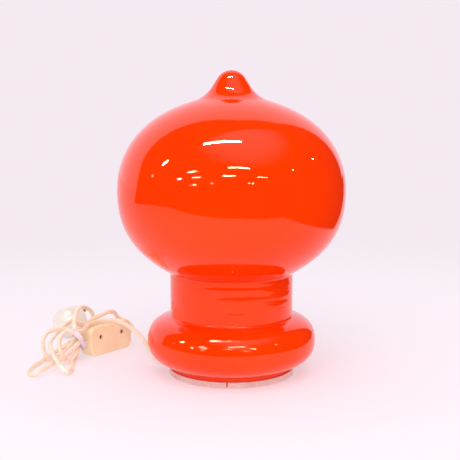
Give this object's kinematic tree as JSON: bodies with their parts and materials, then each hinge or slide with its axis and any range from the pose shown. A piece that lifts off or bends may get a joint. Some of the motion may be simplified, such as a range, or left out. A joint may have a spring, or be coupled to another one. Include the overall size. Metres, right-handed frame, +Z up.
{
  "type": "mushroom table lamp",
  "caption": "Blown-glass mushroom table lamp with a domed shade on a bulging foot, a lampholder inside, a flex with a rocker switch and a round plug.",
  "frame": {"origin": "on the floor, under the axis of the glass", "axes": "+Z up along the glass axis, -Y towards the viewer of the picture, +X to the viewer's right"},
  "size_m": [0.3639, 0.3175, 0.3425],
  "materials": {
    "black_glass": "black vitreous insulator",
    "bulb_glass": "pearl glass",
    "bulb_metal": "bright pressed metal",
    "clear_strip": "milky clear soft plastic edge strip, semi-gloss",
    "core_sleeve": "PVC core insulation",
    "cream_cord": "cream PVC-insulated flat twin cord, satin",
    "cream_plastic": "cream moulded plastic, satin gloss",
    "filament_wire": "drawn tungsten wire",
    "grey_rubber": "dark grey rubber",
    "orange_glass": "mouth-blown cased glass, orange-red outside over white opal, glossy",
    "plain_brass": "plain brass, turned",
    "spring_steel": "blued spring steel, satin",
    "steatite": "unglazed steatite",
    "white_bakelite": "white moulded thermoset, semi-gloss",
    "white_enamel": "white enamelled steel tube",
    "white_nylon": "white nylon",
    "white_plastic": "white moulded plastic, satin gloss",
    "white_rubber": "white soft moulded sleeve",
    "white_tie": "white plastic-covered tie strip",
    "zinc_steel": "bright zinc-plated steel"
  },
  "bodies": {
    "fitting": {"base_feet": "grey_rubber", "base_plate": "zinc_steel", "centre_contact": "plain_brass", "centring_springs": "spring_steel", "cord_clamp": "white_nylon", "cord_grip": "white_nylon", "cord_hank": "cream_cord", "cord_lead": "cream_cord", "cord_plug_end": "cream_cord", "cord_switch_input": "cream_cord", "cord_switch_output": "cream_cord", "cord_tie": "white_tie", "core_tails": "core_sleeve", "grip_screws": "zinc_steel", "holder_cap": "white_bakelite", "holder_insert": "steatite", "holder_nut": "zinc_steel", "holder_shell": "white_bakelite", "holder_terminals": "plain_brass", "inner_cord": "cream_cord", "plate_nut": "zinc_steel", "plate_washers": "zinc_steel", "plug_clamp": "zinc_steel", "plug_cover": "white_plastic", "plug_face": "white_plastic", "plug_pins": "plain_brass", "plug_screw": "zinc_steel", "plug_sleeve": "white_rubber", "rocker_pin": "zinc_steel", "spring_rivets": "zinc_steel", "stem_sleeve": "white_enamel", "switch_back": "cream_plastic", "switch_contact": "plain_brass", "switch_cord_clamps": "white_nylon", "switch_front": "cream_plastic", "switch_screws": "zinc_steel", "switch_terminals": "plain_brass", "terminal_screws": "plain_brass", "threaded_sleeve": "plain_brass", "threaded_tube": "zinc_steel"},
    "glass": {"glass_body": "orange_glass", "rim_strip": "clear_strip"},
    "bulb": {"bulb_cap": "bulb_metal", "bulb_envelope": "bulb_glass", "bulb_filament": "filament_wire", "bulb_insulator": "black_glass", "bulb_lead_wires": "bulb_metal", "bulb_mount": "bulb_glass", "bulb_tip_contact": "bulb_metal"},
    "rocker": {"switch_rocker": "cream_plastic"}
  },
  "joints": [
    {"name": "glass_lift", "type": "slide", "parent": "fitting", "child": "glass", "axis": [0, 0, 1], "range_m": [0, 0.24]},
    {"name": "bulb_unscrew", "type": "hinge", "parent": "fitting", "child": "bulb", "pos_m": [0, 0, 0.13], "axis": [0, 0, 1], "range_deg": [0, 1080]},
    {"name": "switch_rock", "type": "hinge", "parent": "fitting", "child": "rocker", "pos_m": [-0.15988, 0.09082, 0.01758], "axis": [-0.0275, 0.0215, 0.9994], "range_deg": [-22, 0]}
  ]
}
